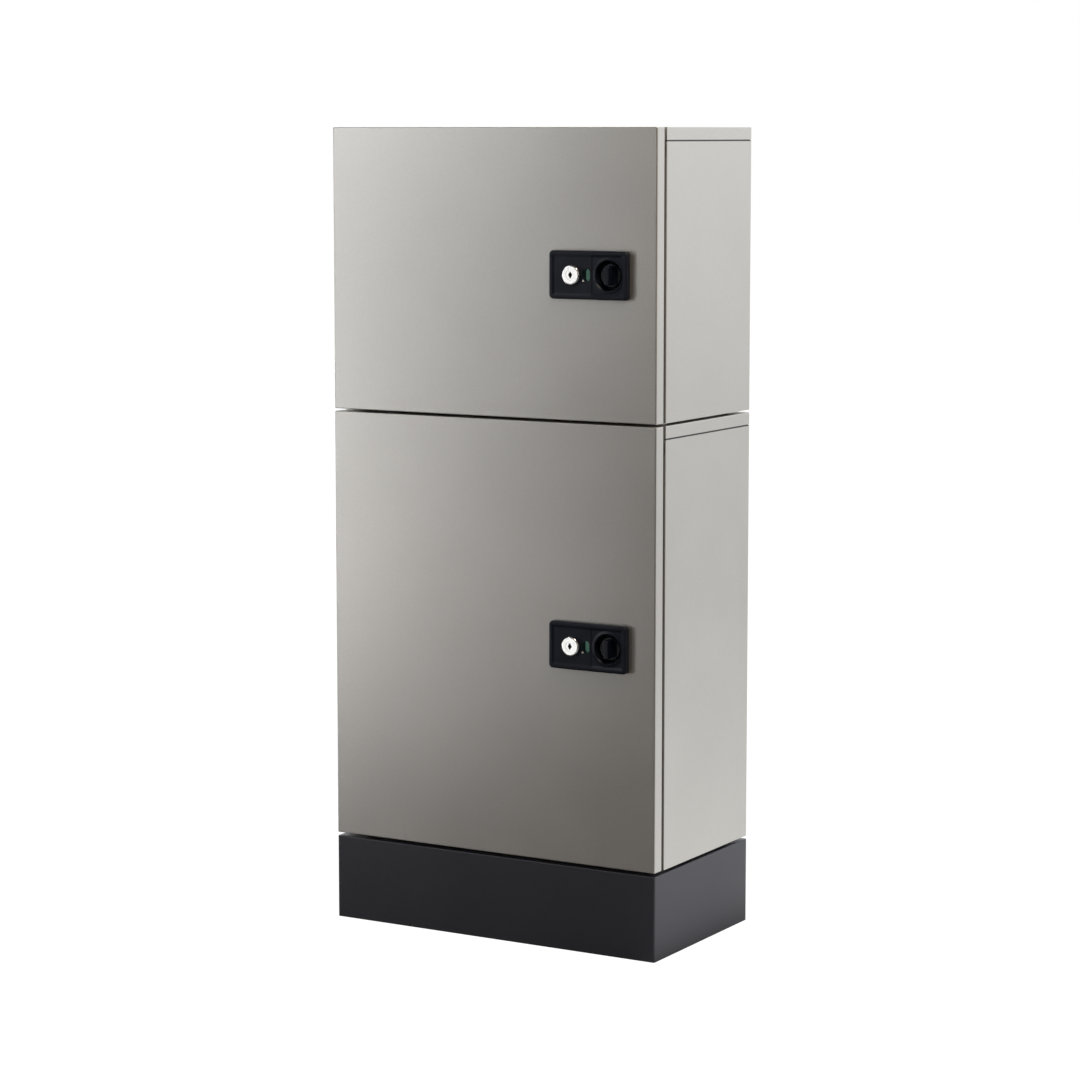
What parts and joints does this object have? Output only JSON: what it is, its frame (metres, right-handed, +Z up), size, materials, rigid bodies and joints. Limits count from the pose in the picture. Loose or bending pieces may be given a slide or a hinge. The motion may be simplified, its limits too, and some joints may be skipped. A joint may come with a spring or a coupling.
{
  "type": "parcel locker",
  "caption": "Upright steel parcel locker on a dark plinth, a short compartment above a tall one; each left-hung door has a key-and-knob lock with a vacancy flag.",
  "frame": {"origin": "on the floor, at the centre of the plinth's four anchor holes", "axes": "+Z up, +X to the right seen from the front, +Y towards the back; the doors face -Y"},
  "size_m": [0.458, 0.259, 1],
  "materials": {
    "locker_paint": "satin pale grey powder coat on zinc-coated steel",
    "plinth_paint": "satin charcoal powder coat",
    "lock_black": "semi-gloss black moulded nylon",
    "lock_case_black": "matt black moulded nylon",
    "seal_rubber": "matt black foamed rubber",
    "bright_nickel": "nickel-plated, lightly turned",
    "zinc_steel": "bright zinc-plated steel",
    "spindle_brass": "turned brass",
    "window_clear": "clear polycarbonate",
    "flag_green": "moulded plastic, green below and red above",
    "bearing_nylon": "natural nylon",
    "magnet_black": "plastic-bonded magnet"
  },
  "bodies": {
    "root": {"lower_cabinet_shell": "locker_paint", "lower_roof_cap": "locker_paint", "lower_floor_pan": "locker_paint", "lower_door_gasket": "seal_rubber", "upper_cabinet_shell": "locker_paint", "upper_roof_cap": "locker_paint", "upper_floor_pan": "locker_paint", "upper_door_gasket": "seal_rubber", "hinge_brackets": "zinc_steel", "hinge_pins": "zinc_steel", "hinge_screws": "zinc_steel", "strike_plates": "zinc_steel", "door_magnets": "magnet_black", "door_bumpers": "seal_rubber", "plinth_shell": "plinth_paint", "plinth_posts": "plinth_paint", "stack_bolts": "zinc_steel", "stack_nuts": "zinc_steel", "stack_spacers": "zinc_steel"},
    "lower_door": {"lower_door_skin": "locker_paint", "lower_door_liner": "locker_paint", "lower_door_stiffener": "locker_paint", "lower_lock_plate": "lock_black", "lower_lock_seal": "seal_rubber", "lower_lock_case": "lock_case_black", "lower_lock_screws": "zinc_steel", "lower_indicator_lens": "window_clear", "lower_key_barrel": "bright_nickel", "lower_barrel_nut": "zinc_steel", "lower_hinge_bushes": "bearing_nylon"},
    "lower_knob": {"lower_knob": "lock_black", "lower_knob_spindle": "spindle_brass", "lower_latch_cam": "zinc_steel", "lower_latch_nut": "zinc_steel"},
    "lower_key": {"lower_key_plug": "bright_nickel", "lower_plug_cam": "zinc_steel"},
    "lower_slider": {"lower_lock_slider": "zinc_steel"},
    "lower_indicator": {"lower_indicator_slide": "flag_green"},
    "upper_door": {"upper_door_skin": "locker_paint", "upper_door_liner": "locker_paint", "upper_door_stiffener": "locker_paint", "upper_lock_plate": "lock_black", "upper_lock_seal": "seal_rubber", "upper_lock_case": "lock_case_black", "upper_lock_screws": "zinc_steel", "upper_indicator_lens": "window_clear", "upper_key_barrel": "bright_nickel", "upper_barrel_nut": "zinc_steel", "upper_hinge_bushes": "bearing_nylon"},
    "upper_knob": {"upper_knob": "lock_black", "upper_knob_spindle": "spindle_brass", "upper_latch_cam": "zinc_steel", "upper_latch_nut": "zinc_steel"},
    "upper_key": {"upper_key_plug": "bright_nickel", "upper_plug_cam": "zinc_steel"},
    "upper_slider": {"upper_lock_slider": "zinc_steel"},
    "upper_indicator": {"upper_indicator_slide": "flag_green"}
  },
  "joints": [
    {"name": "lower_door_hinge", "type": "hinge", "parent": "root", "child": "lower_door", "pos_m": [-0.22, -0.114, 0.3782], "axis": [0, 0, -1], "range_deg": [0, 105]},
    {"name": "lower_knob_turn", "type": "hinge", "parent": "lower_door", "child": "lower_knob", "pos_m": [0.1677, -0.123, 0.3782], "axis": [0, -1, 0], "range_deg": [0, 90]},
    {"name": "lower_key_turn", "type": "hinge", "parent": "lower_door", "child": "lower_key", "pos_m": [0.118, -0.123, 0.3782], "axis": [0, 1, 0], "range_deg": [0, 90]},
    {"name": "lower_slider_travel", "type": "slide", "parent": "lower_door", "child": "lower_slider", "axis": [-1, 0, 0], "range_m": [0, 0.00453]},
    {"name": "lower_indicator_travel", "type": "slide", "parent": "lower_door", "child": "lower_indicator", "axis": [0, 0, -1], "range_m": [0, 0.01572]},
    {"name": "upper_door_hinge", "type": "hinge", "parent": "root", "child": "upper_door", "pos_m": [-0.22, -0.114, 0.8252], "axis": [0, 0, -1], "range_deg": [0, 105]},
    {"name": "upper_knob_turn", "type": "hinge", "parent": "upper_door", "child": "upper_knob", "pos_m": [0.1677, -0.123, 0.8252], "axis": [0, -1, 0], "range_deg": [0, 90]},
    {"name": "upper_key_turn", "type": "hinge", "parent": "upper_door", "child": "upper_key", "pos_m": [0.118, -0.123, 0.8252], "axis": [0, 1, 0], "range_deg": [0, 90]},
    {"name": "upper_slider_travel", "type": "slide", "parent": "upper_door", "child": "upper_slider", "axis": [-1, 0, 0], "range_m": [0, 0.00453]},
    {"name": "upper_indicator_travel", "type": "slide", "parent": "upper_door", "child": "upper_indicator", "axis": [0, 0, -1], "range_m": [0, 0.01572]}
  ],
  "couplings": [
    {"joint": "lower_slider_travel", "follows": "lower_key_turn", "m_per_rad": 0.002881},
    {"joint": "lower_indicator_travel", "follows": "lower_knob_turn", "m_per_rad": 0.01},
    {"joint": "upper_slider_travel", "follows": "upper_key_turn", "m_per_rad": 0.002881},
    {"joint": "upper_indicator_travel", "follows": "upper_knob_turn", "m_per_rad": 0.01}
  ]
}
